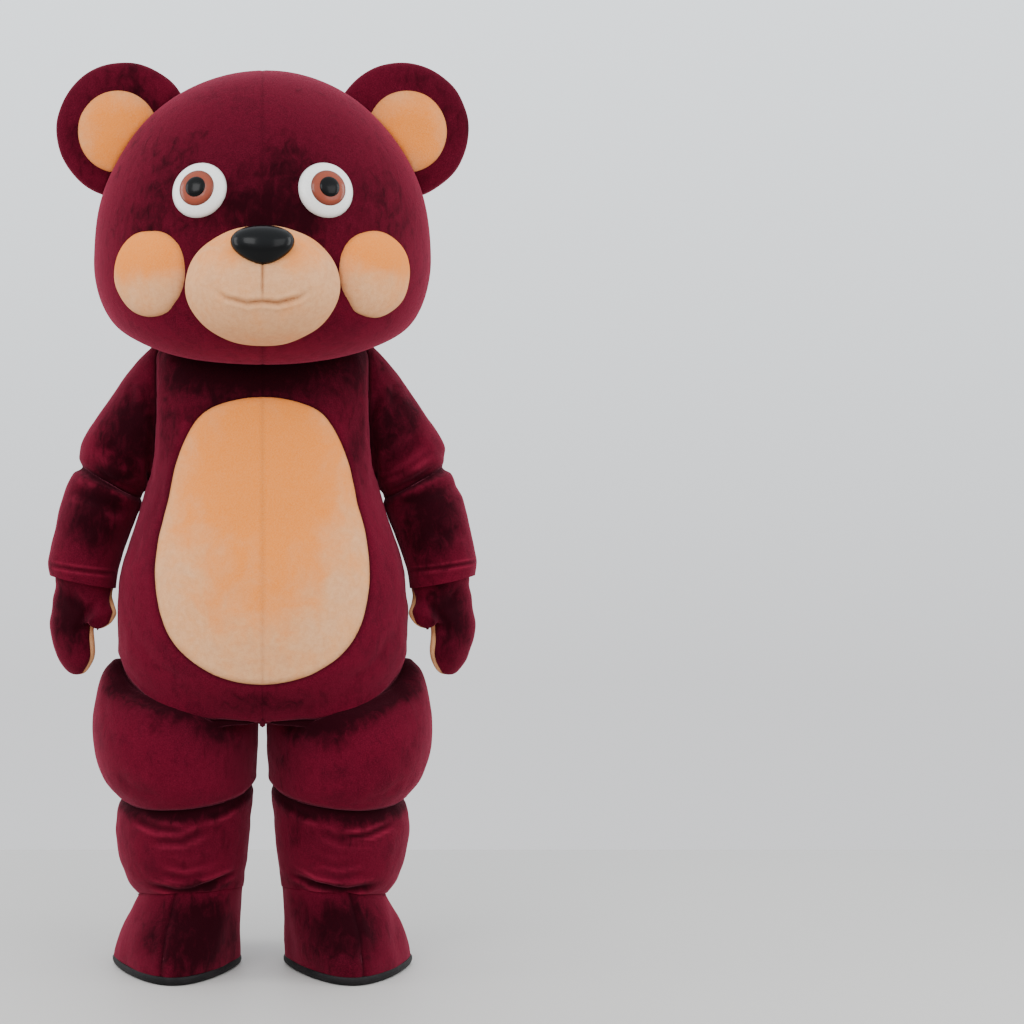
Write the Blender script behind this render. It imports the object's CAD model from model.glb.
# Bear mascot costume in dark red crushed velour, worn and filled out.
# Every sewn piece is a smooth shell on the solid that it replaces, with its seams,
# folds and hems modelled. Heights are from the floor, in metres.

import math

import bmesh
import bpy
import numpy as np
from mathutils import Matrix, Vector, kdtree, noise
from mathutils.bvhtree import BVHTree


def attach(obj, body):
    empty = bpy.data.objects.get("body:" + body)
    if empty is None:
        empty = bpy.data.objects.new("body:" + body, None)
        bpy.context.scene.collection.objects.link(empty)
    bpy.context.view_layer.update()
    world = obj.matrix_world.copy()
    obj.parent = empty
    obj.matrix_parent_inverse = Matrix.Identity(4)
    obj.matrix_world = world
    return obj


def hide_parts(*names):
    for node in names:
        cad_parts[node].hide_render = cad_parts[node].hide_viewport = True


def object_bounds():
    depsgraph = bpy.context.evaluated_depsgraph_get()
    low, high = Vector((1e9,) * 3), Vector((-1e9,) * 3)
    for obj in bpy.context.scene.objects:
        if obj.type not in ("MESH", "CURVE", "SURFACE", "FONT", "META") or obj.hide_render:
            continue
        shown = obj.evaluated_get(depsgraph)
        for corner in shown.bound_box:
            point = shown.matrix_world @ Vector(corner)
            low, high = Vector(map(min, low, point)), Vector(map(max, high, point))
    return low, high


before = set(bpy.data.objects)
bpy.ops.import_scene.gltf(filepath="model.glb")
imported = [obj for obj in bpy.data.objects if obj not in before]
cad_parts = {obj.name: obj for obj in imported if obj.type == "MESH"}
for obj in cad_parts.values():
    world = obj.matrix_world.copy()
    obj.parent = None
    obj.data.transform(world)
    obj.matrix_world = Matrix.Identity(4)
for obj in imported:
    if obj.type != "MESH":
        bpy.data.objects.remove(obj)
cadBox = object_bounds()
floorZ = cadBox[0][2]
print("loaded", len(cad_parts), "nodes")
onMiddle = 1e-6  # a point nearer than this to X = 0 is on the middle
far = 9.0  # metres, more than any distance on the bear
labels = {1: "_left", -1: "_right", 0: ""}


# The cage of each form: outer points and four-sided cells, each with its piece's name

class Net:
    def __init__(self):
        self.points = []
        self.cells = []

    def add(self, point):
        self.points.append([float(value) for value in point])
        return len(self.points) - 1

    def addRow(self, points):
        return [self.add(point) for point in points]

    def strip(self, upper, lower, pieceOf, closed=False):
        count = len(upper)
        for column in range(count if closed else count - 1):
            after = (column + 1) % count
            piece = pieceOf(column)
            if piece:
                corners = (upper[column], lower[column], lower[after], upper[after])
                self.cells.append((corners, piece))

    def tube(self, rows, pieceOf):  # closed rings of cells between rows that go round
        for row, (upper, lower) in enumerate(zip(rows, rows[1:])):
            self.strip(upper, lower, lambda column: pieceOf(row, column), closed=True)

    def loopFrom(self, start):  # the open edge that runs through a point
        ahead = set()
        for corners, _ in self.cells:
            for place, corner in enumerate(corners):
                ahead.add((corner, corners[(place + 1) % 4]))
        following = {a: b for a, b in ahead if (b, a) not in ahead}
        loop = [start]
        while following[loop[-1]] != start:
            loop.append(following[loop[-1]])
        return loop


def distances(points, targets, chosen=None):  # from the chosen points to the nearest of the targets
    tree = kdtree.KDTree(len(targets))
    for number in targets:
        tree.insert(points[number], int(number))
    tree.balance()
    away = np.full(len(points), far)
    for number in range(len(points)) if chosen is None else np.nonzero(chosen)[0]:
        away[number] = tree.find(points[number])[2]
    return away


def bothSides(net):
    whole = Net()
    whole.points = [list(point) for point in net.points]
    whole.cells = list(net.cells)
    twin = []
    for number, point in enumerate(net.points):
        if abs(point[0]) < onMiddle:
            twin.append(number)
        else:
            twin.append(whole.add((-point[0], point[1], point[2])))
    for corners, piece in net.cells:
        turned = tuple(twin[corner] for corner in reversed(corners))
        whole.cells.append((turned, piece.replace("_left", "_right")))
    return whole


def named(columns, rows):
    return [dict(zip(columns, row)) for row in rows]


def power(value, exponent):
    return math.copysign(abs(value) ** exponent, value)


def ringPoint(ring, angle):  # the angle runs round from the front to the left
    exponent = 2 / ring["round"]
    x = ring["side"] * power(math.sin(angle), exponent)
    forward = power(math.cos(angle), exponent)
    reach, height = ("front", "frontZ") if forward >= 0 else ("back", "backZ")
    share = (1 - abs(math.cos(angle))) ** 0.9  # eases from the height in front or behind to the side's
    z = ring[height] + (ring["sideZ"] - ring[height]) * share
    if forward < 0 and ring.get("arch"):
        z += ring["arch"] * max(0, 1 - (x / ring["seam"]) ** 2)
    return 0.0 if abs(x) < onMiddle else x, ring["middle"] - ring[reach] * forward, z


def spread(stops, cells):
    angles = []
    for start, end, count in zip(stops, stops[1:], cells):
        angles += [start + (end - start) * step / count for step in range(count)]
    return angles + [stops[-1]]


def limbPoint(section, angle):  # the angle runs from the outer point to the back
    across = math.cos(angle)
    behind = math.sin(angle)
    narrow = 1 - section.get("heel", 0) * max(0, behind) - section.get("toe", 0) * max(0, -behind)
    reach = section["back"] if behind > 0 else section["front"]
    halfX = (section["outerX"] - section["innerX"]) / 2
    halfZ = (section["outerZ"] - section["innerZ"]) / 2
    return (
        (section["outerX"] + section["innerX"]) / 2 + halfX * across * narrow,
        section["middle"] + reach * behind,
        (section["outerZ"] + section["innerZ"]) / 2 + halfZ * across + section["tilt"] * behind,
    )


ringColumns = ("side", "sideZ", "front", "frontZ", "back", "backZ", "middle", "round")
limbColumns = ("outerX", "outerZ", "innerX", "innerZ", "front", "back", "middle", "tilt")

# Torso: rings from the neck rim down to the leg holes
torso = {
    "columns": ringColumns + ("arch", "seam"),
    "rings": (
        (0.1960, 1.415, 0.1200, 1.356, 0.1630, 1.440, 0, 2.30, 0.000, 0.188),
        (0.2045, 1.392, 0.1285, 1.330, 0.1700, 1.415, 0, 2.30, 0.000, 0.196),
        (0.2260, 1.366, 0.1460, 1.292, 0.1850, 1.378, 0, 2.40, 0.000, 0.210),
        (0.2365, 1.310, 0.1600, 1.258, 0.1960, 1.318, 0, 2.50, 0.000, 0.213),
        (0.2385, 1.264, 0.1710, 1.232, 0.2020, 1.262, 0, 2.50, 0.000, 0.212),
        (0.2385, 1.238, 0.1760, 1.220, 0.2040, 1.235, 0, 2.50, 0.000, 0.211),
        (0.2385, 1.205, 0.1840, 1.195, 0.2070, 1.203, 0, 2.50, 0.000, 0.211),
        (0.2385, 1.155, 0.1960, 1.150, 0.2100, 1.152, 0, 2.50, 0.000, 0.211),
        (0.2410, 1.105, 0.2090, 1.095, 0.2130, 1.100, 0, 2.50, 0.010, 0.211),
        (0.2480, 1.050, 0.2220, 1.035, 0.2150, 1.045, 0, 2.45, 0.028, 0.211),
        (0.2700, 0.985, 0.2350, 0.970, 0.2180, 0.985, 0, 2.40, 0.050, 0.212),
        (0.2965, 0.912, 0.2500, 0.905, 0.2210, 0.918, 0, 2.30, 0.074, 0.218),
        (0.3105, 0.855, 0.2580, 0.840, 0.2250, 0.850, 0, 2.25, 0.055, 0.240),
        (0.3155, 0.805, 0.2615, 0.778, 0.2300, 0.788, 0, 2.20, 0.030, 0.247),
        (0.3165, 0.770, 0.2590, 0.725, 0.2330, 0.735, 0, 2.20, 0.012, 0.247),
        (0.3160, 0.738, 0.2510, 0.677, 0.2320, 0.685, 0, 2.20, 0.000, 0.232),
        (0.3155, 0.724, 0.2450, 0.652, 0.2280, 0.655, 0, 2.20, 0.000, 0.218),
        (0.3145, 0.712, 0.2360, 0.634, 0.2220, 0.627, 0, 2.20, 0.000, 0.195),
        (0.3130, 0.696, 0.2100, 0.594, 0.2030, 0.585, 0, 2.20, 0.000, 0.135),
        (0.3110, 0.682, 0.1700, 0.546, 0.1720, 0.548, 0, 2.20, 0.000, 0.066),
    ),
    "cells": (1, 10, 5),  # on half of a ring: first cell, on to the side-back seam, back
    "narrowFrom": 12,  # the ring from which the first cell narrows to the crotch gusset
    "gussetHalf": 0.018,
    "seatRow": 11,
    "armholeCells": 4,
    "armholeRows": (2, 9),
    "armhole": {"middle": 0.020, "front": 0.085, "back": 0.100, "top": 1.366, "bottom": 1.053},
    "gussetRise": 0.018,
    "gussetSteps": 6,
    "legMiddle": 0.165,
}


def ringAngle(ring, halfWidth):
    return math.asin((halfWidth / ring["side"]) ** (ring["round"] / 2))


def torsoAngles(ring, place):
    seam = math.pi - ringAngle(ring, ring["seam"])
    even = seam / sum(torso["cells"][:2])
    share = max(0, place - torso["narrowFrom"]) / (len(torso["rings"]) - 1 - torso["narrowFrom"])
    first = even + (ringAngle(ring, torso["gussetHalf"]) - even) * share
    return spread((0, first, seam, math.pi), torso["cells"])


def torsoPiece(row, column):
    front = sum(torso["cells"][:2])
    if column >= front:
        return "back_left" if row < torso["seatRow"] else "seat_left"
    first, last = torso["armholeRows"]
    if first <= row < last and column >= front - torso["armholeCells"]:
        return None
    return "front_left"


def torsoSide(rings, y, z):
    heights = [-ring["sideZ"] for ring in rings]
    side = np.interp(-z, heights, [ring["side"] for ring in rings])
    depth = np.interp(-z, heights, [ring["front" if y < 0 else "back"] for ring in rings])
    shape = np.interp(-z, heights, [ring["round"] for ring in rings])
    return side * (1 - (abs(y) / depth) ** shape) ** (1 / shape)


def addTorso(net, rings):
    rows = []
    for place, ring in enumerate(rings):
        rows.append(net.addRow(ringPoint(ring, a) for a in torsoAngles(ring, place)))
    for row, (upper, lower) in enumerate(zip(rows, rows[1:])):
        net.strip(upper, lower, lambda column: torsoPiece(row, column))
    return rows


def addGusset(net, hem):
    front = np.array([net.points[hem[0]], net.points[hem[1]]])
    back = np.array([net.points[hem[-1]], net.points[hem[-2]]])
    upper = [hem[0], hem[1]]
    for step in range(1, torso["gussetSteps"] + 1):
        share = step / torso["gussetSteps"]
        line = front * (1 - share) + back * share
        line[:, 2] += torso["gussetRise"] * math.sin(math.pi * share)
        lower = [hem[-1], hem[-2]] if share == 1 else net.addRow(line)
        net.strip(upper, lower, lambda column: "crotch_gusset")
        upper = lower


# Sleeves: sections from the armhole to the cuff
sleeve = {
    "sections": (
        (0.272, 1.325, 0.250, 1.046, 0.094, 0.106, 0.028, 0),
        (0.324, 1.257, 0.257, 1.040, 0.098, 0.108, 0.034, 0),
        (0.372, 1.188, 0.263, 1.034, 0.098, 0.105, 0.036, 0),
        (0.401, 1.133, 0.265, 1.027, 0.093, 0.098, 0.036, 0),
        (0.402, 1.090, 0.264, 1.019, 0.082, 0.085, 0.032, 0),
        (0.418, 1.072, 0.269, 1.002, 0.089, 0.090, 0.026, 0),
        (0.438, 1.024, 0.2795, 0.974, 0.094, 0.094, 0.016, 0),
        (0.4535, 0.957, 0.297, 0.925, 0.092, 0.092, 0.004, 0),
        (0.464, 0.905, 0.309, 0.885, 0.088, 0.088, -0.006, 0),
        (0.4675, 0.880, 0.315, 0.862, 0.083, 0.083, -0.010, 0),
        (0.463, 0.853, 0.3205, 0.824, 0.076, 0.078, -0.012, 0),
    ),
    "elbow": 4,
    "cuff": 9,
}


def addSleeve(net, rows, rings):
    top = rows[torso["armholeRows"][0]][sum(torso["cells"][:2]) - torso["armholeCells"] // 2]
    loop = net.loopFrom(top)
    count = len(loop)
    way = 1 if net.points[loop[1]][1] > net.points[top][1] else -1
    angles = [way * 2 * math.pi * step / count for step in range(count)]
    hole = torso["armhole"]
    middle = (hole["top"] + hole["bottom"]) / 2
    for number, angle in zip(loop, angles):
        reach = hole["back"] if math.sin(angle) > 0 else hole["front"]
        y = hole["middle"] + reach * math.sin(angle)
        z = middle + (hole["top"] - middle) * math.cos(angle)
        net.points[number] = [torsoSide(rings, y, z), y, z]
    sections = named(limbColumns, sleeve["sections"])
    tube = [loop] + [net.addRow(limbPoint(section, angle) for angle in angles) for section in sections]
    net.tube(tube, lambda row, _: "upper_sleeve_left" if row <= sleeve["elbow"] else "forearm_left")


# Legs: sections from the leg hole to the hem. Follow is the share of the leg hole's own height.
leg = {
    "columns": limbColumns + ("follow",),
    "sections": (
        (0.3430, 0.450, 0.0100, 0.450, 0.184, 0.186, 0, 0.000, 0.90),
        (0.3620, 0.450, 0.0095, 0.450, 0.200, 0.202, 0, 0.000, 0.68),
        (0.3720, 0.460, 0.0095, 0.460, 0.208, 0.210, 0, 0.000, 0.40),
        (0.3710, 0.455, 0.0100, 0.455, 0.209, 0.211, 0, 0.000, 0.17),
        (0.3590, 0.430, 0.0120, 0.430, 0.203, 0.204, 0, 0.004, 0.04),
        (0.3360, 0.398, 0.0145, 0.408, 0.189, 0.190, 0, 0.012, 0),
        (0.3070, 0.368, 0.0200, 0.394, 0.163, 0.165, 0, 0.020, 0),
        (0.3190, 0.338, 0.0215, 0.362, 0.167, 0.168, 0, 0.014, 0),
        (0.3205, 0.290, 0.0260, 0.306, 0.164, 0.165, 0, 0.006, 0),
        (0.3120, 0.232, 0.0315, 0.246, 0.157, 0.158, 0, 0.000, 0),
        (0.2945, 0.184, 0.0375, 0.202, 0.147, 0.148, 0, -0.012, 0),
        (0.2730, 0.156, 0.0415, 0.170, 0.135, 0.135, 0, -0.021, 0),
    ),
    "knee": 6,
    "evenFrom": 4,  # the section from which the columns are evenly spaced
}


def addLeg(net, hem):
    loop = net.loopFrom(hem[len(hem) // 2])
    places = [net.points[number] for number in loop]
    angles = np.unwrap([math.atan2(y, x - torso["legMiddle"]) for x, y, _ in places])
    heights = [z for _, _, z in places]
    even = np.arange(len(loop)) * (2 * math.pi / len(loop)) * np.sign(angles[-1] - angles[0])
    even += np.mean(angles - even)
    tube = [loop]
    for place, section in enumerate(named(leg["columns"], leg["sections"])):
        spaced = min(1, (place + 1) / leg["evenFrom"])
        share = section["follow"]
        tube.append([])
        for angle in angles * (1 - spaced) + even * spaced:
            x, y, z = limbPoint(section, angle)
            start = np.interp(angle, angles, heights, period=2 * math.pi)
            tube[-1].append(net.add((x, y, z * (1 - share) + start * share)))
    net.tube(tube, lambda row, _: "thigh_left" if row <= leg["knee"] else "shin_left")


def suitNet():
    net = Net()
    rings = named(torso["columns"], torso["rings"])
    rows = addTorso(net, rings)
    addGusset(net, rows[-1])
    addLeg(net, rows[-1])
    addSleeve(net, rows, rings)
    return bothSides(net)


# Head: an egg over a table of lower rings that tuck in round the suit's neck
head = {
    "widest": 1.549,
    "rise": 0.389,
    "sizes": (0.3620, 0.300, 0.280),  # side, front, back
    "forward": -0.050,
    "round": 2.05,
    "poleAngles": (0.35, 13, 26, 39, 52, 65, 78, 90),
    "seams": (54, 120),
    "cells": (5, 6, 5),
    "rings": (
        (0.3605, 1.502, 0.3030, 1.499, 0.2790, 1.508, -0.050, 2.10),
        (0.3515, 1.458, 0.3000, 1.446, 0.2730, 1.474, -0.048, 2.15),
        (0.3350, 1.418, 0.2870, 1.390, 0.2600, 1.447, -0.043, 2.20),
        (0.3080, 1.386, 0.2560, 1.336, 0.2420, 1.427, -0.033, 2.25),
        (0.2660, 1.370, 0.2010, 1.304, 0.2180, 1.415, -0.018, 2.30),
        (0.2260, 1.377, 0.1530, 1.302, 0.1900, 1.412, -0.006, 2.30),
        (0.2060, 1.393, 0.1300, 1.331, 0.1715, 1.416, 0.000, 2.30),
    ),
}


def headNet():
    net = Net()
    rings = []
    for degrees in head["poleAngles"]:
        angle = math.radians(degrees)
        z = head["widest"] + head["rise"] * math.cos(angle)
        side, front, back = (size * math.sin(angle) for size in head["sizes"])
        rings.append((side, z, front, z, back, z, head["forward"], head["round"]))
    stops = [0] + [math.radians(seam) for seam in head["seams"]] + [math.pi]
    angles = spread(stops, head["cells"])
    kinds = ("head_front_left", "head_side_left", "head_back_left")
    pieces = [kind for kind, count in zip(kinds, head["cells"]) for _ in range(count)]
    table = named(ringColumns, tuple(rings) + head["rings"])
    rows = [net.addRow(ringPoint(ring, a) for a in angles) for ring in table]
    for upper, lower in zip(rows, rows[1:]):
        net.strip(upper, lower, lambda column: pieces[column])
    return bothSides(net)


# Mittens: sections from the wrist to the fingertips, and the thumb out of the palm's edge
mitten = {
    "columns": ("x", "y", "z", "wide", "deep", "turn", "slant"),
    "sections": (
        (0.3890, -0.012, 0.830, 0.0625, 0.0590, 10, 0.010),
        (0.3925, -0.014, 0.803, 0.0670, 0.0520, 22, 0.004),
        (0.4030, -0.018, 0.776, 0.0620, 0.0470, 32, 0),
        (0.4140, -0.021, 0.748, 0.0550, 0.0430, 38, 0),
        (0.4130, -0.024, 0.715, 0.0530, 0.0400, 40, 0),
        (0.4075, -0.026, 0.686, 0.0490, 0.0370, 40, 0),
        (0.4050, -0.027, 0.660, 0.0370, 0.0290, 40, 0),
    ),
    "tip": (0.4040, -0.028, 0.645, 0.0230, 0.011),
    "around": 22,
    "thumbRows": (3, 5),
    "thumbHalf": 2,
    "thumbColumns": ("topX", "topY", "topZ", "lowX", "lowY", "lowZ", "deep"),
    "thumb": (
        (0.3230, -0.056, 0.781, 0.3680, -0.069, 0.750, 0.027),
        (0.3230, -0.061, 0.767, 0.3640, -0.071, 0.745, 0.024),
    ),
    "thumbTip": (0.3290, -0.065, 0.752, 0.3550, -0.072, 0.739, 0.005),
    "thumbTurn": 38,
    "bearing": {"outerX": -0.0034, "innerX": 0.0034, "front": -0.0034, "back": -0.0034},  # from the cuff
    "rim": {  # from the bearing
        "outerX": -0.009, "innerX": 0.007, "front": -0.008, "back": -0.008, "outerZ": 0.028, "innerZ": 0.028,
    },
}


def handPoint(section, angle):
    turn = math.radians(section["turn"])
    across = section["wide"] * math.cos(angle)
    behind = section["deep"] * math.sin(angle)
    return (
        section["x"] + across * math.cos(turn) - behind * math.sin(turn),
        section["y"] + across * math.sin(turn) + behind * math.cos(turn),
        section["z"] + section["slant"] * math.cos(angle),
    )


def wristSections():  # the rim and the bearing stand inside the sleeve's cuff
    cuff = dict(zip(limbColumns, sleeve["sections"][sleeve["cuff"]]))
    bearing = {key: value + mitten["bearing"].get(key, 0) for key, value in cuff.items()}
    rim = {key: value + mitten["rim"].get(key, 0) for key, value in bearing.items()}
    return rim, bearing


def pillowEnd(net, start, end, fall, half):
    start, end = np.array(start), np.array(end)
    line = []
    for step in range(half + 1):
        across = math.cos(math.pi * step / half)
        point = (start + end) / 2 + (start - end) / 2 * across
        point[2] -= fall * math.sqrt(max(0, 1 - across**2))
        line.append(net.add(point))
    return line + line[-2:0:-1]


def mittenNet():
    net = Net()
    columns = mitten["around"]
    half = columns // 2
    angles = [2 * math.pi * step / columns for step in range(columns)]
    rows = [net.addRow(limbPoint(s, a) for a in angles) for s in wristSections()]
    sections = named(mitten["columns"], mitten["sections"])
    for section in sections:
        rows.append(net.addRow(handPoint(section, angle) for angle in angles))
    x, y, z, wide, fall = mitten["tip"]
    turn = math.radians(sections[-1]["turn"])
    reach = np.array((math.cos(turn), math.sin(turn), 0)) * wide
    middle = np.array((x, y, z))
    rows.append(pillowEnd(net, middle + reach, middle - reach, fall, half))
    first, last = mitten["thumbRows"]

    def pieceOf(row, column):
        if first <= row < last and abs(column + 0.5 - half) < mitten["thumbHalf"]:
            return None
        return "mitten_palm_left" if column < half else "mitten_back_left"

    net.tube(rows, pieceOf)
    addThumb(net, rows[first][half])
    return bothSides(net)


def addThumb(net, top):
    loop = net.loopFrom(top)
    count = len(loop)
    towardsPalm = net.points[loop[1]][1] > net.points[top][1]
    sign = 1 if towardsPalm else -1
    turn = math.radians(mitten["thumbTurn"])
    palmward = np.array((-math.sin(turn), math.cos(turn), 0))
    tube = [loop]

    def pieceOf(_, column):
        byPalm = (column < count // 2) == towardsPalm
        return "mitten_palm_left" if byPalm else "mitten_back_left"

    for section in named(mitten["thumbColumns"], mitten["thumb"]):
        high = np.array((section["topX"], section["topY"], section["topZ"]))
        low = np.array((section["lowX"], section["lowY"], section["lowZ"]))
        points = []
        for step in range(count):
            angle = 2 * math.pi * step / count
            along = (high + low) / 2 + (high - low) / 2 * math.cos(angle)
            points.append(along + palmward * section["deep"] * math.sin(angle) * sign)
        tube.append(net.addRow(points))
    tip = mitten["thumbTip"]
    tube.append(pillowEnd(net, tip[:3], tip[3:6], tip[6], count // 2))
    net.tube(tube, pieceOf)


# Boots: sections from the shaft's rim, inside the suit's hem, down to the sole
boot = {
    "columns": limbColumns + ("heel", "toe"),
    "sections": (
        (0.2560, 0.232, 0.0580, 0.236, 0.122, 0.122, 0, 0, 0, 0),
        (0.2692, 0.158, 0.0455, 0.172, 0.1314, 0.1314, 0, -0.021, 0, 0),
        (0.2706, 0.150, 0.0447, 0.164, 0.1326, 0.1324, 0, -0.021, 0, 0),
        (0.2890, 0.118, 0.0470, 0.124, 0.147, 0.140, 0, -0.012, 0.03, 0.06),
        (0.3045, 0.088, 0.0480, 0.090, 0.165, 0.150, 0, -0.006, 0.06, 0.13),
        (0.3165, 0.060, 0.0480, 0.060, 0.180, 0.162, 0, 0, 0.09, 0.20),
        (0.3235, 0.036, 0.0480, 0.036, 0.189, 0.171, 0, 0, 0.11, 0.26),
        (0.3260, 0.0184, 0.0490, 0.0184, 0.190, 0.174, 0, 0, 0.12, 0.29),
    ),
    "around": 24,
    "quarter": (6, 19),  # the columns between the seams at the heel and beside the toe
    "soleAround": 96,
    "soleRings": ((0.0005, -0.003), (0.003, 0.001), (0.009, 0.003), (0.015, 0.003), (0.0182, 0.0015)),
}


def bootNet():
    net = Net()
    count = boot["around"]
    first, last = boot["quarter"]
    rows = []
    for section in named(boot["columns"], boot["sections"]):
        rows.append(net.addRow(limbPoint(section, 2 * math.pi * step / count) for step in range(count)))
    net.tube(rows, lambda _, column: "boot_vamp_left" if first <= column < last else "boot_quarter_left")
    return bothSides(net)


# A smooth shell over a cage, kept as arrays until its folds and seams are in

smoothing = {"levels": 3, "rounds": 4, "share": 0.9}  # rounds that bring it back to the cage's size
panelEdge = {"steps": 12, "reach": 0.012, "rounds": 6}  # curve steps, and how the points beside it are evened


class Shell:
    def __init__(self, net):
        names = sorted({piece for _, piece in net.cells})
        mesh = bpy.data.meshes.new("cage")
        places = [(x, y, z + floorZ) for x, y, z in net.points]
        used = sorted({corner for corners, _ in net.cells for corner in corners})
        number = {corner: place for place, corner in enumerate(used)}
        faces = [tuple(number[corner] for corner in corners) for corners, _ in net.cells]
        mesh.from_pydata([places[corner] for corner in used], [], faces)
        label = mesh.attributes.new("piece", "INT", "FACE")
        label.data.foreach_set("value", [names.index(piece) for _, piece in net.cells])
        cage = bpy.data.objects.new("cage", mesh)
        bpy.context.scene.collection.objects.link(cage)
        smooth = cage.modifiers.new("smooth", "SUBSURF")
        smooth.levels = smooth.render_levels = smoothing["levels"]
        smooth.boundary_smooth = "PRESERVE_CORNERS"
        self.keepSize(cage, np.array([places[corner] for corner in used]))
        fine = cage.evaluated_get(bpy.context.evaluated_depsgraph_get()).to_mesh()
        count = len(fine.vertices)
        self.names = names
        self.points = np.empty(count * 3)
        fine.vertices.foreach_get("co", self.points)
        self.points = self.points.reshape(-1, 3)
        self.faces = np.empty(len(fine.loops), dtype=int)
        fine.loops.foreach_get("vertex_index", self.faces)
        self.faces = self.faces.reshape(-1, 4)
        self.piece = np.empty(len(fine.polygons), dtype=int)
        fine.attributes["piece"].data.foreach_get("value", self.piece)
        bpy.data.objects.remove(cage, do_unlink=True)
        self.normals = self.freshNormals()
        self.rest = self.points.copy()
        self.dark = np.zeros(count)
        self.nap = np.zeros(count)
        self.bright = np.zeros(count)

    def keepSize(self, cage, target):  # so that the smooth surface passes through the cage's points
        moved = target.copy()
        for _ in range(smoothing["rounds"]):
            fine = cage.evaluated_get(bpy.context.evaluated_depsgraph_get()).to_mesh()
            places = np.empty(len(fine.vertices) * 3)
            fine.vertices.foreach_get("co", places)
            moved += (target - places.reshape(-1, 3)[:len(target)]) * smoothing["share"]
            cage.data.vertices.foreach_set("co", moved.ravel())
            cage.data.update()

    def freshNormals(self):
        a, b, c, d = (self.points[self.faces[:, i]] for i in range(4))
        each = np.cross(c - a, d - b)
        normals = np.zeros_like(self.points)
        for i in range(4):
            np.add.at(normals, self.faces[:, i], each)
        return normals / np.maximum(np.linalg.norm(normals, axis=1)[:, None], 1e-12)

    def ofPiece(self, starts):  # which points belong to the pieces whose names start so
        kept = [place for place, name in enumerate(self.names) if name.startswith(starts)]
        mask = np.zeros(len(self.points), dtype=bool)
        mask[self.faces[np.isin(self.piece, kept)].ravel()] = True
        return mask

    def seamPoints(self):  # the points on each seam, by the two kinds of piece that meet there
        edges = {}
        for face, corners in enumerate(self.faces):
            for i in range(4):
                a, b = int(corners[i]), int(corners[(i + 1) % 4])
                edges.setdefault((min(a, b), max(a, b)), []).append(int(self.piece[face]))
        seams = {}
        for edge, pieces in edges.items():
            if len(pieces) == 1:
                key = ("hem", kindOf(self.names[pieces[0]]))
            elif pieces[0] != pieces[1]:
                key = tuple(sorted(kindOf(self.names[p]) for p in pieces))
            else:
                continue
            seams.setdefault(key, set()).update(edge)
        return seams

    def push(self, amount):
        self.points += self.normals * amount[:, None]

    def cutPanel(self, start, outline):  # gives the faces inside an outline on the front a new name
        curve = np.array(outline) + (0, floorZ)
        steps = np.linspace(0, 1, panelEdge["steps"], endpoint=False)[:, None]
        ends = np.roll(curve, 1, 0), curve, np.roll(curve, -1, 0), np.roll(curve, -2, 0)
        line = []
        for before, first, second, after in zip(*ends):
            slope = second - before
            bend = 2 * before - 5 * first + 4 * second - after
            twist = 3 * first - before - 3 * second + after
            line.append(0.5 * (2 * first + slope * steps + bend * steps**2 + twist * steps**3))
        line = np.vstack(line)
        centres = self.points[self.faces].mean(axis=1)
        front = np.array([self.names[piece].startswith("front") for piece in self.piece])
        chosen = front & (centres[:, 1] < 0) & inside(line, centres[:, (0, 2)])
        self.names += [start + "_left", start + "_right"]
        self.piece[chosen] = len(self.names) - 2 + (centres[chosen, 0] < 0)
        rim = np.intersect1d(self.faces[chosen], self.faces[front & ~chosen])
        for number in rim:
            x, y, z = self.points[number]
            nearest = line[np.argmin((line[:, 0] - x) ** 2 + (line[:, 1] - z) ** 2)]
            move = nearest - (x, z)
            slope = self.normals[number][(0, 2),] @ move / self.normals[number][1]
            self.points[number] += (move[0], -slope, move[1])
        self.relax(rim, panelEdge["reach"], panelEdge["rounds"])
        self.normals = self.freshNormals()
        self.rest = self.points.copy()

    def relax(self, fixed, reach, rounds):  # evens out the points near some that stay
        edges = np.vstack([self.faces[:, (i, (i + 1) % 4)] for i in range(4)])
        near = distances(self.points, fixed) < reach
        near[fixed] = False
        near[np.abs(self.points[:, 0]) < onMiddle] = False
        count = np.zeros(len(self.points))
        np.add.at(count, edges.ravel(), 1)
        for _ in range(rounds):
            total = np.zeros_like(self.points)
            np.add.at(total, edges[:, 0], self.points[edges[:, 1]])
            np.add.at(total, edges[:, 1], self.points[edges[:, 0]])
            mean = total / count[:, None]
            self.points[near] = (self.points[near] + mean[near]) / 2


def inside(line, places):
    crossed = np.zeros(len(places), dtype=bool)
    for (ax, az), (bx, bz) in zip(line, np.roll(line, -1, axis=0)):
        if az == bz:
            continue
        spans = (az > places[:, 1]) != (bz > places[:, 1])
        crossed ^= spans & (places[:, 0] < (bx - ax) * (places[:, 1] - az) / (bz - az) + ax)
    return crossed


def kindOf(name):
    return name.replace("_left", "").replace("_right", "")


seamShape = {
    "sharpness": 1.4,
    "ridge": (2.4, 1.0, 0.22),  # beside the seam: how far off, how wide, and its share of the depth
    "shadeReach": 1.3,
    "darkDepth": 0.004,  # a seam this deep is fully dark
    "reach": 5,  # widths past which a seam does nothing
}


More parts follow.
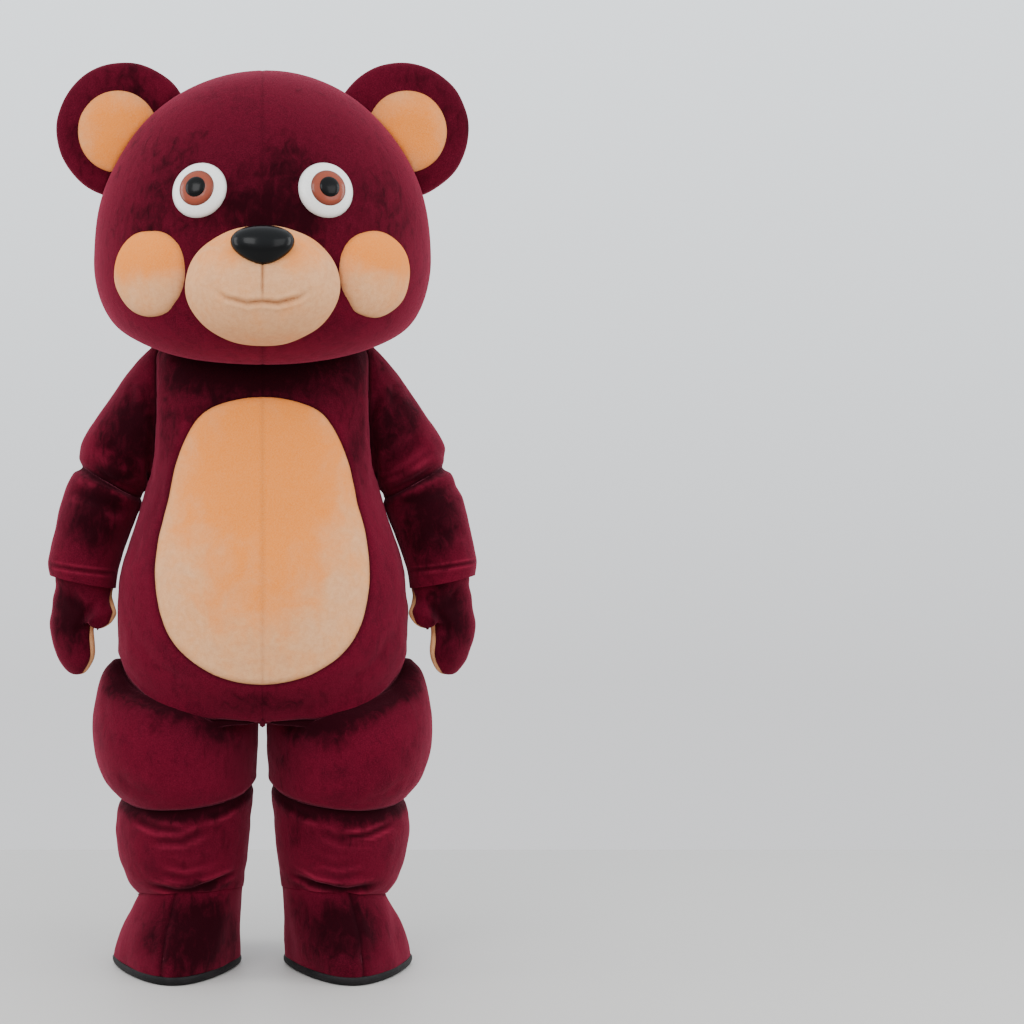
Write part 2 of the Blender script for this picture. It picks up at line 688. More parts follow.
def seamGrooves(shell, table, plain):
    deepest = np.zeros(len(shell.points))
    offset, breadth, share = seamShape["ridge"]
    for key, numbers in shell.seamPoints().items():
        if key[0] == "hem":
            continue
        depth, width = table.get(key, plain)
        seam = shell.rest[list(numbers)]
        low = seam.min(axis=0) - width * seamShape["reach"]
        high = seam.max(axis=0) + width * seamShape["reach"]
        near = np.all((shell.rest > low) & (shell.rest < high), axis=1)
        away = distances(shell.rest, numbers, near) / width
        ridge = share * np.exp(-((away - offset) / breadth) ** 2)
        groove = (ridge - np.exp(-away ** seamShape["sharpness"])) * depth
        deepest = np.where(np.abs(groove) > np.abs(deepest), groove, deepest)
        shade = np.exp(-(away * seamShape["shadeReach"]) ** 2) * min(1, depth / seamShape["darkDepth"])
        shell.dark = np.maximum(shell.dark, shade)
    shell.push(deepest)


tuckFades = {  # x between which a tuck fades out at the hips, and in from the crotch
    "hips": (0.19, 0.29),
    "leastAtHips": 0.1,
    "crotch": (0.085, 0.165),
}


def tuckUnder(shell, seam, piece, depth, reach, shade, shadeReach):  # one piece comes out from under another
    away = distances(shell.rest, shell.seamPoints()[seam], shell.ofPiece(piece))
    inner, outer = tuckFades["hips"]
    crotch, full = tuckFades["crotch"]
    aside = np.abs(shell.rest[:, 0])
    share = np.clip((outer - aside) / (outer - inner), tuckFades["leastAtHips"], 1)
    share *= np.clip((aside - crotch) / (full - crotch), 0, 1)
    shell.push(-depth * np.exp(-((away / reach) ** 2)) * share)
    shell.nap = np.maximum(shell.nap, shade * np.exp(-((away / shadeReach) ** 2)))


unlike = {  # how far a crease and its twin differ, and how far apart their draws of noise lie
    "across": 0.010, "up": 0.012, "depth": 0.4, "width": 0.3, "draws": (3.7, 5.1, 2.3),
}


# Each crease comes twice, no two quite alike. One seen from the front or back is mirrored,
# and one seen from a side falls twice in the same place, so its depth is given as about half.
def bothSidesOf(creases):
    drawn = []
    first, second, third = unlike["draws"]
    for number, (piece, view, line, depth, width, *fade) in enumerate(creases):
        for side in (-1, 1):
            across, up, deeper, wider = (
                noise.noise(Vector((number * first, side * second, axis * third))) for axis in range(4)
            )
            place = line
            if view in ("front", "back"):
                place = [(side * (x + unlike["across"] * across), z + unlike["up"] * up) for x, z in line]
            ownDepth = depth * (1 + unlike["depth"] * deeper)
            ownWidth = width * (1 + unlike["width"] * wider)
            drawn.append((piece, view, place, ownDepth, ownWidth, *fade))
    return drawn


foldShape = {
    "sharpness": 1.5,
    "ridge": (2.1, 0.9, 0.30),  # beside the fold: how far off, how wide, and its share of the depth
    "fade": 0.28,  # share of the length over which each end fades
    "wave": (0.15, 7, 90),  # how uneven the depth is along the fold, how often, and its start
    "facing": (0.05, 1.7, 0.15),  # least turn toward the view, and how the fold grows with the turn
    "steep": (1.4, 0.35),  # how the shade grows with the depth for its width
    "shadeReach": 1.2,
    "gleam": (2.0, 0.7, 0.55),  # the bright pile on the ridge: how far off, how wide and how strong
    "reach": 4,  # widths past which a fold does nothing
}
views = {"front": (0, -1), "back": (0, 1), "left": (1, 1), "right": (1, -1)}  # axis across it, and its side


def alongLine(line, places):  # distance from a line, and share of its length, at each place
    nearest = np.full(len(places), far)
    along = np.zeros(len(places))
    lengths = np.linalg.norm(np.diff(line, axis=0), axis=1)
    before = 0
    for start, end, length in zip(line, line[1:], lengths):
        way = (end - start) / length
        share = np.clip((places - start) @ way, 0, length)
        distance = np.linalg.norm(places - start - share[:, None] * way, axis=1)
        closer = distance < nearest
        nearest = np.where(closer, distance, nearest)
        along = np.where(closer, (before + share) / lengths.sum(), along)
        before += length
    return nearest, along


def fold(form, mask, view, line, depth, width, fade=foldShape["fade"]):
    line = np.array([(u, z + floorZ) for u, z in line])
    axis, side = views[view]
    least, grow, start = foldShape["facing"]
    facing = form.normals[:, 1 - axis] * side
    flat = form.rest[:, (axis, 2)]
    reach = width * foldShape["reach"]
    low, high = line.min(axis=0) - reach, line.max(axis=0) + reach
    numbers = np.nonzero(mask & (facing > least) & np.all((flat > low) & (flat < high), axis=1))[0]
    if not len(numbers):
        return
    nearest, along = alongLine(line, flat[numbers])
    ends = np.minimum(1, np.minimum(along, 1 - along) / fade)
    share = ends * ends * (3 - 2 * ends) * np.clip(facing[numbers] * grow - start, 0, 1)
    wave, often, turn = foldShape["wave"]
    uneven = 1 - wave + wave * np.sin(along * often + line[0][0] * turn)
    away = nearest / width
    offset, breadth, height = foldShape["ridge"]
    shape = height * np.exp(-((away - offset) / breadth) ** 2) - np.exp(-away ** foldShape["sharpness"])
    form.points[numbers] += form.normals[numbers] * (shape * depth * share * uneven)[:, None]
    steep, flatter = foldShape["steep"]
    share = share * max(0, min(1, depth / width * steep - flatter))
    shade = np.exp(-(away * foldShape["shadeReach"]) ** 2) * share
    form.dark[numbers] = np.maximum(form.dark[numbers], shade)
    offset, breadth, strength = foldShape["gleam"]
    gleam = np.exp(-((away - offset) / breadth) ** 2) * share * strength
    form.bright[numbers] = np.maximum(form.bright[numbers], gleam)


def unevenness(shell, amount, size, seed):
    shift = Vector((seed, seed * 0.7, -seed))
    wave = [noise.noise(Vector(point) / size + shift) for point in shell.rest]
    shell.push(np.array(wave) * amount)


# Materials

def linear(red, green, blue):  # from sRGB out of 255, by the standard curve
    shares = (red / 255, green / 255, blue / 255)
    return tuple(((v + 0.055) / 1.055) ** 2.4 if v > 0.04 else v / 12.92 for v in shares)


class Nodes:
    def __init__(self, name):
        self.material = bpy.data.materials.new(name)
        self.material.use_nodes = True
        self.tree = self.material.node_tree
        self.shader = self.tree.nodes["Principled BSDF"]
        self.place = self.add("ShaderNodeTexCoord").outputs["Object"]

    def add(self, kind, values=None, **inputs):
        node = self.tree.nodes.new(kind)
        for key, value in (values or {}).items():
            setattr(node, key, value)
        for key, value in inputs.items():
            self.put(node.inputs[key.replace("_", " ")], value)
        return node

    def put(self, socket, value):
        if isinstance(value, bpy.types.NodeSocket):
            self.tree.links.new(value, socket)
        elif isinstance(value, tuple) and len(value) == 3 and socket.type == "RGBA":
            socket.default_value = (*value, 1)
        else:
            socket.default_value = value

    def set(self, **inputs):
        for key, value in inputs.items():
            self.put(self.shader.inputs[key.replace("_", " ")], value)

    def noise(self, scale, detail=3, roughness=0.55, distortion=0.0, vector=None):
        node = self.add("ShaderNodeTexNoise", Scale=scale, Detail=detail)
        self.put(node.inputs["Roughness"], roughness)
        self.put(node.inputs["Distortion"], distortion)
        self.put(node.inputs["Vector"], vector or self.place)
        return node.outputs["Fac"]

    def between(self, value, low, high, toLow=0.0, toHigh=1.0):
        node = self.add("ShaderNodeMapRange", {"interpolation_type": "SMOOTHSTEP"})
        keys = ("Value", "From Min", "From Max", "To Min", "To Max")
        for key, item in zip(keys, (value, low, high, toLow, toHigh)):
            self.put(node.inputs[key], item)
        return node.outputs["Result"]

    def math(self, kind, first, second):
        node = self.add("ShaderNodeMath", {"operation": kind})
        self.put(node.inputs[0], first)
        self.put(node.inputs[1], second)
        return node.outputs[0]

    def mix(self, share, first, second):
        node = self.add("ShaderNodeMix", {"data_type": "RGBA"})
        self.put(node.inputs[0], share)
        self.put(node.inputs[6], first)
        self.put(node.inputs[7], second)
        return node.outputs[2]

    def bump(self, height, strength, distance, normal=None):
        node = self.add("ShaderNodeBump", Height=height, Strength=strength, Distance=distance)
        if normal:
            self.put(node.inputs["Normal"], normal)
        return node.outputs["Normal"]

    def attribute(self, name):
        return self.add("ShaderNodeAttribute", {"attribute_name": name}).outputs["Fac"]


# A noise is its waves per metre, detail, roughness and distortion, and a bump its strength and depth.
# A range is the two values that it runs between, then the share that it gives at each.
velour = {
    "deep": linear(58, 2, 17),
    "middle": linear(82, 5, 26),
    "light": linear(150, 36, 62),
    "crushed": linear(26, 0, 5),
    "patches": (6.0, 3, 0.55, 0.5),
    "streaks": (52.0, 5, 0.62, 0.6),
    "stretch": 0.55,  # how much longer the streaks are upright
    "pile": (620.0, 2, 0.6),
    "shares": (0.55, 0.45),  # of the patches and of the streaks
    "lay": (0.34, 0.64),
    "edges": (0.30, 0.62, 0.6, 1.0),
    "tips": (0.38, 0.66, 0.0, 0.20),
    "loose": 3.2,  # how ragged the crushed patches are
    "nap": (0.04, 1.0, 0.0, 0.95),
    "seams": 0.85,
    "coarse": (0.30, 0.004),
    "fine": (0.5, 0.0012),
    "surface": {
        "Roughness": 0.9, "Sheen_Weight": 0.20, "Sheen_Roughness": 0.40,
        "Sheen_Tint": (1.0, 0.20, 0.32, 1), "Specular_IOR_Level": 0.05,
    },
}


def velourMaterial():
    m = Nodes("crushedVelour")
    upright = m.add("ShaderNodeMapping", Vector=m.place, Scale=(1, 1, velour["stretch"])).outputs["Vector"]
    patches = m.noise(*velour["patches"])
    streaks = m.noise(*velour["streaks"], vector=upright)
    pile = m.noise(*velour["pile"])
    byPatch, byStreak = velour["shares"]
    brushed = m.math("ADD", m.math("MULTIPLY", patches, byPatch), m.math("MULTIPLY", streaks, byStreak))
    lay = m.between(brushed, *velour["lay"])
    colour = m.mix(lay, velour["deep"], velour["middle"])
    edges = m.math("MULTIPLY", m.attribute("rim"), m.between(streaks, *velour["edges"]))
    colour = m.mix(edges, colour, velour["light"])
    colour = m.mix(m.between(pile, *velour["tips"]), colour, velour["light"])
    loose = m.math("MULTIPLY", m.math("SUBTRACT", brushed, 0.5), velour["loose"])
    crushed = m.between(m.math("ADD", m.attribute("nap"), loose), *velour["nap"])
    colour = m.mix(crushed, colour, velour["crushed"])
    colour = m.mix(m.math("MULTIPLY", m.attribute("dark"), velour["seams"]), colour, velour["crushed"])
    coarse = m.bump(streaks, *velour["coarse"])
    m.set(Base_Color=colour, Normal=m.bump(pile, *velour["fine"], coarse), **velour["surface"])
    return m.material


tanPlush = {
    "base": linear(216, 160, 116),
    "shade": linear(196, 128, 84),
    "blush": linear(230, 126, 34),
    "seam": linear(120, 66, 40),
    "tips": linear(240, 186, 124),
    "pile": (420.0, 3, 0.65),
    "clumps": (90.0, 4, 0.6, 0.4),
    "edge": (16.0, 4, 0.6, 0.5),
    "shading": (0.30, 0.70, 0.0, 0.45),
    "uneven": 1.2,  # how ragged the blush's edge is
    "airbrush": (-0.10, 0.95),
    "seams": 0.6,
    "tipping": (0.32, 0.68, 0.0, 0.20),
    "coarse": (0.30, 0.002),
    "fine": (0.6, 0.0015),
    "surface": {
        "Roughness": 0.92, "Sheen_Weight": 0.06, "Sheen_Roughness": 0.45,
        "Sheen_Tint": (1.0, 0.80, 0.60, 1), "Specular_IOR_Level": 0.08,
    },
}


def tanMaterial():
    m = Nodes("tanPlush")
    pile = m.noise(*tanPlush["pile"])
    clumps = m.noise(*tanPlush["clumps"])
    edge = m.noise(*tanPlush["edge"])
    colour = m.mix(m.between(clumps, *tanPlush["shading"]), tanPlush["base"], tanPlush["shade"])
    uneven = m.math("MULTIPLY", m.math("SUBTRACT", edge, 0.5), tanPlush["uneven"])
    blush = m.between(m.math("ADD", m.attribute("blush"), uneven), *tanPlush["airbrush"])
    colour = m.mix(blush, colour, tanPlush["blush"])
    colour = m.mix(m.math("MULTIPLY", m.attribute("dark"), tanPlush["seams"]), colour, tanPlush["seam"])
    colour = m.mix(m.between(pile, *tanPlush["tipping"]), colour, tanPlush["tips"])
    coarse = m.bump(clumps, *tanPlush["coarse"])
    m.set(Base_Color=colour, Normal=m.bump(pile, *tanPlush["fine"], coarse), **tanPlush["surface"])
    return m.material


gloss = {
    "grain": (260.0, 2),
    "mottle": (0.3, 0.7, 0.0, 0.25),
    "shade": 0.7,
    "seams": 0.7,
    "seam": 0.15,
    "fine": (0.02, 0.0004),
    "coatRough": 0.05,
}


def glossMaterial(name, colour, roughness, specular, coat):
    m = Nodes(name)
    grain = m.noise(*gloss["grain"])
    tone = m.mix(m.between(grain, *gloss["mottle"]), colour, tuple(v * gloss["shade"] for v in colour))
    seam = tuple(v * gloss["seam"] for v in colour)
    tone = m.mix(m.math("MULTIPLY", m.attribute("dark"), gloss["seams"]), tone, seam)
    m.set(Base_Color=tone, Roughness=roughness, Coat_Weight=coat, Coat_Roughness=gloss["coatRough"])
    m.set(Normal=m.bump(grain, *gloss["fine"]), Specular_IOR_Level=specular)
    return m.material


rubber = {
    "clean": linear(12, 11, 12),
    "dusty": linear(34, 28, 30),
    "grain": (320.0, 4),
    "dust": (22.0, 3),
    "dusting": (0.35, 0.75, 0.0, 0.5),
    "roughness": (0.3, 0.7, 0.5, 0.75),
    "specular": 0.2,
    "fine": (0.3, 0.0006),
}


def rubberMaterial():
    m = Nodes("soleRubber")
    grain = m.noise(*rubber["grain"])
    dust = m.noise(*rubber["dust"])
    tone = m.mix(m.between(dust, *rubber["dusting"]), rubber["clean"], rubber["dusty"])
    rough = m.between(grain, *rubber["roughness"])
    m.set(Base_Color=tone, Roughness=rough, Specular_IOR_Level=rubber["specular"])
    m.set(Normal=m.bump(grain, *rubber["fine"]))
    return m.material


materials = {
    "plush": velourMaterial(),
    "tan": tanMaterial(),
    "black": glossMaterial("glossBlack", linear(5, 5, 6), 0.22, 0.14, 0.04),
    "white": glossMaterial("glossWhite", linear(238, 237, 233), 0.25, 0.40, 0.05),
    "brown": glossMaterial("glossBrown", linear(136, 58, 36), 0.22, 0.30, 0.08),
    "rubber": rubberMaterial(),
}
print("materials made")


# Pieces

sharpEdge = {"cloth": math.radians(70), "sole": math.radians(40)}


def sceneName(node):
    first, *rest = node.split("_")
    return first + "".join(word.capitalize() for word in rest)


def addPiece(mesh, node, finish):
    piece = bpy.data.objects.new(sceneName(node), mesh)
    bpy.context.scene.collection.objects.link(piece)
    mesh.materials.clear()
    mesh.materials.append(materials[finish])
    mesh.shade_smooth()
    mesh.set_sharp_from_angle(angle=sharpEdge["cloth"])
    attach(piece, "root")
    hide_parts(node)
    return piece


def floats(mesh, name, values):
    layer = mesh.attributes.new(name, "FLOAT", "POINT")
    layer.data.foreach_set("value", np.asarray(values, dtype=np.float32))


def shellPieces(shell):
    normals = shell.freshNormals()
    for place, node in enumerate(shell.names):
        faces = shell.faces[shell.piece == place]
        used, inverse = np.unique(faces.ravel(), return_inverse=True)
        faces = inverse.reshape(-1, 4)
        outer = shell.points[used]
        count = len(used)
        inner = outer - normals[used] * wallOf(node)
        edges = {}
        for a, b, c, d in faces.tolist():
            for pair in ((a, b), (b, c), (c, d), (d, a)):
                edges[pair] = True
        rims = [(b, a, a + count, b + count) for a, b in edges if (b, a) not in edges]
        everything = faces.tolist() + (faces[:, ::-1] + count).tolist() + rims
        mesh = bpy.data.meshes.new(node)
        mesh.from_pydata(np.vstack([outer, inner]).tolist(), [], everything)
        finish = finishOf(node)
        floats(mesh, "dark", np.concatenate([shell.dark[used], np.full(count, 0.5)]))
        if finish == "plush":
            rim = np.maximum(rimLight(node, normals[used]), shell.bright[used]) * (1 - shell.dark[used])
            floats(mesh, "rim", np.concatenate([rim, rim * 0]))
            nap = np.maximum(crushedNap(node, outer, normals[used]), shell.nap[used])
            floats(mesh, "nap", np.concatenate([nap, nap]))
        else:
            blush = blushOf(node, outer)
            floats(mesh, "blush", np.concatenate([blush, blush]))
        piece = addPiece(mesh, node, finish)


def dress(shell, look):  # puts the cloth's waves, seams and folds on a shell, then makes its pieces
    for wave in look["waves"]:
        unevenness(shell, *wave)
    seamGrooves(shell, look["seams"], look["plainSeam"])
    for tuck in look.get("tucks", ()):
        tuckUnder(shell, *tuck)
    if "drawIn" in look:
        depth, start, over = look["drawIn"]
        shell.push(-depth * np.clip((shell.rest[:, 2] - floorZ - start) / over, 0, 1))
    for piece, *crease in bothSidesOf(look["creases"]):
        fold(shell, shell.ofPiece(piece), *crease)
    shellPieces(shell)


pile = {"head": 0.55, "sides": 0.34, "under": 0.06, "falloff": 2.2}  # lighter where it is brushed round
ovalEdges = {"crush": 1.2, "blush": 1.4}  # the higher, the sharper
crushes = (  # piece, face, x and height of each patch of crushed, dark pile, its half sizes and strength
    ("front", -1, 0.0, 1.330, 0.280, 0.130, 1.4),
    ("front", -1, 0.205, 1.160, 0.035, 0.120, 0.55),
    ("front", -1, 0.0, 0.590, 0.120, 0.030, 0.45),
    ("upper", -1, 0.275, 1.170, 0.075, 0.120, 1.0),
    ("forearm", -1, 0.365, 0.975, 0.080, 0.095, 1.0),
    ("mitten", -1, 0.405, 0.760, 0.055, 0.100, 0.85),
    ("thigh", -1, 0.130, 0.610, 0.150, 0.075, 0.95),
    ("thigh", -1, 0.045, 0.500, 0.050, 0.090, 0.45),
    ("shin", -1, 0.150, 0.300, 0.090, 0.050, 0.35),
    ("shin", -1, 0.140, 0.196, 0.090, 0.016, 0.85),
    ("shin", 1, 0.150, 0.190, 0.075, 0.016, 0.90),
    ("forearm", -1, 0.345, 1.018, 0.060, 0.022, 1.0),
    ("upper", -1, 0.315, 1.072, 0.060, 0.020, 0.85),
    ("boot", -1, 0.160, 0.095, 0.105, 0.085, 1.0),
    ("head", -1, 0.0, 1.610, 0.270, 0.190, 0.72),
    ("ear", -1, 0.350, 1.840, 0.150, 0.150, 0.60),
    ("ear", 1, 0.301, 1.820, 0.125, 0.125, 0.80),
    ("back", 1, 0.040, 1.180, 0.130, 0.240, 0.60),
    ("back", 1, 0.0, 1.370, 0.200, 0.060, 0.90),
    ("upper", 1, 0.280, 1.190, 0.070, 0.130, 0.90),
    ("forearm", 1, 0.350, 1.000, 0.060, 0.050, 0.75),
    ("seat", 1, 0.080, 0.830, 0.130, 0.120, 0.55),
    ("tail", 1, 0.0, 0.731, 0.050, 0.050, 0.85),
    ("thigh", 1, 0.150, 0.590, 0.140, 0.070, 0.80),
    ("shin", 1, 0.160, 0.300, 0.100, 0.090, 0.75),
    ("boot", 1, 0.165, 0.120, 0.090, 0.080, 0.85),
    ("head", 1, 0.020, 1.740, 0.270, 0.190, 0.95),
)


def rimLight(node, normals):
    sideways = np.clip(1 - np.abs(normals[:, 1]), 0, 1)
    share = pile["head" if node.startswith("head") else "sides"]
    return share * sideways ** pile["falloff"] + pile["under"] * np.clip(-normals[:, 2], 0, 1)


def oval(points, x, height, wide, high, edge):  # full in the middle and soft round it, on both sides
    across = (np.abs(points[:, 0]) - x) / wide
    up = (points[:, 2] - floorZ - height) / high
    return np.exp(-((across**2 + up**2) ** ovalEdges[edge]))


def crushedNap(node, points, normals):
    total = np.zeros(len(points))
    for piece, face, x, height, wide, high, strength in crushes:
        if node.startswith(piece):
            facing = np.clip(normals[:, 1] * face * 2, 0, 1)
            total = np.maximum(total, strength * facing * oval(points, x, height, wide, high, "crush"))
    return total


blushes = (  # piece, x and height of the orange airbrush, its half sizes and strength
    ("belly", 0.0, 1.08, 0.205, 0.250, 1.05),
    ("belly", 0.0, 0.90, 0.150, 0.170, 0.75),
    ("cheek", 0.245, 1.530, 0.120, 0.068, 1.0),
    ("ear_lining", 0.311, 1.810, 0.110, 0.110, 0.90),
    ("muzzle", 0.078, 1.510, 0.060, 0.050, 0.50),
)


def blushOf(node, points):
    total = np.zeros(len(points))
    for piece, x, height, wide, high, strength in blushes:
        if node.startswith(piece):
            total = np.maximum(total, strength * oval(points, x, height, wide, high, "blush"))
    return total


suit = {
    "panel": (  # x and height round the left half of the belly panel, from the top
        (0.0, 1.233), (0.078, 1.222), (0.1355, 1.190), (0.178, 1.1105), (0.199, 1.0186), (0.2186, 0.9406),
        (0.225, 0.850), (0.2098, 0.7677), (0.1763, 0.7086), (0.1204, 0.6659), (0.062, 0.6420), (0.0, 0.6335),
    ),
    "waves": ((0.0024, 0.110, 3.1), (0.0012, 0.032, 8.7)),  # height, size and seed of the cloth's unevenness
    "seams": {
        ("belly", "belly"): (0.0012, 0.0045),
        ("belly", "front"): (0.0030, 0.0060),
        ("back", "back"): (0.0008, 0.0032),
        ("seat", "seat"): (0.0008, 0.0032),
        ("front", "front"): (0.0009, 0.0034),
        ("back", "front"): (0.0012, 0.0036),
        ("front", "seat"): (0.0012, 0.0036),
        ("back", "seat"): (0.0012, 0.0036),
        ("front", "upper_sleeve"): (0.0045, 0.0070),
        ("forearm", "upper_sleeve"): (0.0060, 0.0075),
        ("front", "thigh"): (0.0055, 0.0060),
        ("seat", "thigh"): (0.0045, 0.0060),
        ("shin", "thigh"): (0.0055, 0.0070),
    },
    "plainSeam": (0.0025, 0.0060),
    "creases": (  # pieces, side seen, x and height along the crease, depth, width and fade at its ends
        # shoulders, elbows and cuffs
        ("upper", "front", ((0.259, 1.250), (0.240, 1.215), (0.234, 1.170)), 0.005, 0.010),
        ("upper", "front", ((0.292, 1.272), (0.280, 1.220)), 0.004, 0.009),
        ("upper", "front", ((0.395, 1.106), (0.330, 1.062), (0.252, 1.030)), 0.007, 0.011),
        ("upper", "front", ((0.348, 1.155), (0.290, 1.110), (0.246, 1.085)), 0.005, 0.012),
        ("fore", "front", ((0.424, 1.049), (0.350, 1.018), (0.272, 0.990)), 0.008, 0.011),
        ("fore", "front", ((0.406, 1.022), (0.350, 0.996), (0.292, 0.975)), 0.005, 0.011),
        ("fore", "front", ((0.440, 0.960), (0.400, 0.945), (0.345, 0.955)), 0.004, 0.012),
        ("fore", "front", ((0.468, 0.884), (0.400, 0.874), (0.319, 0.863)), 0.0024, 0.0040, 0.02),
        ("upper", "back", ((0.392, 1.104), (0.330, 1.066), (0.262, 1.034)), 0.007, 0.011),
        ("upper", "back", ((0.340, 1.170), (0.290, 1.128), (0.256, 1.090)), 0.005, 0.012),
        ("upper", "back", ((0.300, 1.262), (0.268, 1.205)), 0.004, 0.010),
        ("fore", "back", ((0.420, 1.040), (0.360, 1.012), (0.292, 0.986)), 0.007, 0.011),
        ("fore", "back", ((0.432, 0.990), (0.380, 0.968), (0.330, 0.960)), 0.004, 0.012),
        ("fore", "back", ((0.468, 0.884), (0.400, 0.874), (0.319, 0.863)), 0.0024, 0.0040, 0.02),
        ("upper", "left", ((-0.040, 1.122), (0.030, 1.108), (0.100, 1.120)), 0.002, 0.011),
        ("fore", "left", ((-0.070, 1.040), (0.010, 1.050), (0.080, 1.036)), 0.002, 0.012),
        # the trunk's sides, under the arms and over the thighs
        ("front", "front", ((0.228, 1.150), (0.222, 1.080), (0.238, 1.010)), 0.004, 0.013),
        ("front", "front", ((0.262, 0.960), (0.278, 0.880)), 0.003, 0.014),
        ("front", "front", ((0.285, 0.742), (0.235, 0.676), (0.160, 0.628)), 0.004, 0.014),
        ("back", "back", ((0.205, 1.150), (0.150, 1.120), (0.080, 1.128)), 0.004, 0.016),
        ("back", "back", ((0.200, 1.290), (0.160, 1.220)), 0.004, 0.013),
        ("back", "back", ((0.180, 0.985), (0.110, 0.965), (0.050, 0.978)), 0.003, 0.016),
        ("seat", "back", ((0.225, 0.700), (0.170, 0.655), (0.110, 0.634)), 0.004, 0.014),
        ("front", "left", ((-0.060, 0.830), (0.020, 0.810), (0.110, 0.824)), 0.003, 0.016),
        # under the thigh puffs, across the shins and above the hems
        ("thigh", "front", ((0.315, 0.440), (0.260, 0.402), (0.200, 0.392)), 0.0040, 0.0140),
        ("shin", "front", ((0.285, 0.338), (0.220, 0.318), (0.150, 0.312)), 0.0050, 0.0068),
        ("shin", "front", ((0.245, 0.300), (0.170, 0.300), (0.110, 0.326)), 0.0043, 0.0068),
        ("shin", "front", ((0.130, 0.340), (0.080, 0.352), (0.034, 0.378)), 0.0050, 0.0068),
        ("shin", "front", ((0.215, 0.252), (0.150, 0.242), (0.085, 0.268)), 0.0035, 0.0104),
        ("shin", "front", ((0.262, 0.206), (0.180, 0.192), (0.110, 0.204), (0.048, 0.232)), 0.0070, 0.0064),
        ("shin", "front", ((0.225, 0.226), (0.160, 0.214), (0.100, 0.226)), 0.0042, 0.0072),
        ("shin", "front", ((0.150, 0.190), (0.095, 0.200), (0.046, 0.214)), 0.0043, 0.0054),
        ("thigh", "back", ((0.042, 0.430), (0.080, 0.408), (0.125, 0.398)), 0.0042, 0.0096),
        ("shin", "back", ((0.270, 0.346), (0.200, 0.330), (0.130, 0.330)), 0.0050, 0.0068),
        ("shin", "back", ((0.140, 0.350), (0.090, 0.362), (0.038, 0.386)), 0.0050, 0.0068),
        ("shin", "back", ((0.220, 0.192), (0.150, 0.184), (0.090, 0.196)), 0.0050, 0.0061),
        ("shin", "left", ((-0.110, 0.336), (-0.020, 0.322), (0.080, 0.340)), 0.0008, 0.0140),
        ("shin", "right", ((-0.070, 0.318), (0.060, 0.326)), 0.0008, 0.0140),
        ("shin", "left", ((-0.100, 0.214), (0.000, 0.204), (0.100, 0.216)), 0.0009, 0.0130),
        ("shin", "right", ((-0.060, 0.212), (0.070, 0.206)), 0.0009, 0.0130),
    ),
    "tucks": (  # seam, the piece under it, how far it sinks, the reach of that, and of its dark pile
        (("front", "thigh"), ("thigh", "front"), -0.024, 0.040, 0.0, 0.010),
        (("seat", "thigh"), ("thigh", "seat"), -0.016, 0.040, 0.0, 0.010),
        (("front", "thigh"), "thigh", 0.0, 0.040, 1.15, 0.060),
        (("seat", "thigh"), "thigh", 0.0, 0.040, 0.9, 0.050),
        (("shin", "thigh"), "shin", 0.002, 0.022, 1.0, 0.030),
        (("forearm", "upper_sleeve"), "forearm", 0.001, 0.018, 0.8, 0.024),
    ),
}


walls = {"head": 0.010, "suit": 0.004, "limb": 0.003}


def wallOf(node):
    if node.startswith("head"):
        return walls["head"]
    onSuit = node.startswith(("front", "back", "seat", "belly", "crotch", "thigh"))
    return walls["suit" if onSuit else "limb"]


def finishOf(node):
    return "tan" if node.startswith(("belly", "mitten_palm")) else "plush"


suitShell = Shell(suitNet())
print("suit shell:", len(suitShell.points), "points")
suitShell.cutPanel("belly", suit["panel"] + tuple((-x, z) for x, z in suit["panel"][-2:0:-1]))
dress(suitShell, suit)

headLook = {
    "waves": ((0.0025, 0.150, 5.3),),
    "seams": {("head_front", "head_side"): (0.0002, 0.0030), ("head_back", "head_side"): (0.0005, 0.0030)},
    "plainSeam": (0.0009, 0.0034),
    "creases": (
        ("head", "back", ((0.234, 1.486), (0.216, 1.452), (0.196, 1.424)), 0.0016, 0.0060),
        ("head", "front", ((0.250, 1.420), (0.180, 1.392), (0.110, 1.384)), 0.0025, 0.0110),
    ),
}
bootLook = {
    "waves": ((0.0035, 0.060, 2.2),),
    "seams": {},
    "plainSeam": (0.0030, 0.0060),
    "creases": (
        ("boot", "front", ((0.235, 0.140), (0.180, 0.126), (0.110, 0.134)), 0.003, 0.014),
        ("boot", "front", ((0.250, 0.066), (0.200, 0.052)), 0.003, 0.011),
        ("boot", "back", ((0.230, 0.130), (0.160, 0.118), (0.090, 0.130)), 0.005, 0.011),
    ),
}
mittenLook = {
    "waves": ((0.0016, 0.035, 4.4),),
    "seams": {},
    "plainSeam": (0.0022, 0.0050),
    "drawIn": (0.0045, 0.842, 0.012),  # how far the cuff is drawn in, above what height, and over what rise
    "creases": (
        ("mitten", "front", ((0.420, 0.822), (0.400, 0.790), (0.372, 0.776)), 0.004, 0.008),
        ("mitten", "front", ((0.372, 0.760), (0.392, 0.742), (0.412, 0.736)), 0.003, 0.008),
        ("mitten_palm", "back", ((0.375, 0.796), (0.405, 0.778), (0.440, 0.782)), 0.004, 0.006),
        ("mitten_palm", "back", ((0.372, 0.748), (0.395, 0.742), (0.420, 0.752)), 0.004, 0.006),
        ("mitten_palm", "back", ((0.385, 0.706), (0.415, 0.716)), 0.003, 0.006),
        ("mitten_palm", "back", ((0.400, 0.676), (0.425, 0.690)), 0.002, 0.006),
        ("mitten", "back", ((0.440, 0.800), (0.420, 0.770), (0.400, 0.762)), 0.003, 0.008),
    ),
}
headShell = Shell(headNet())
dress(headShell, headLook)
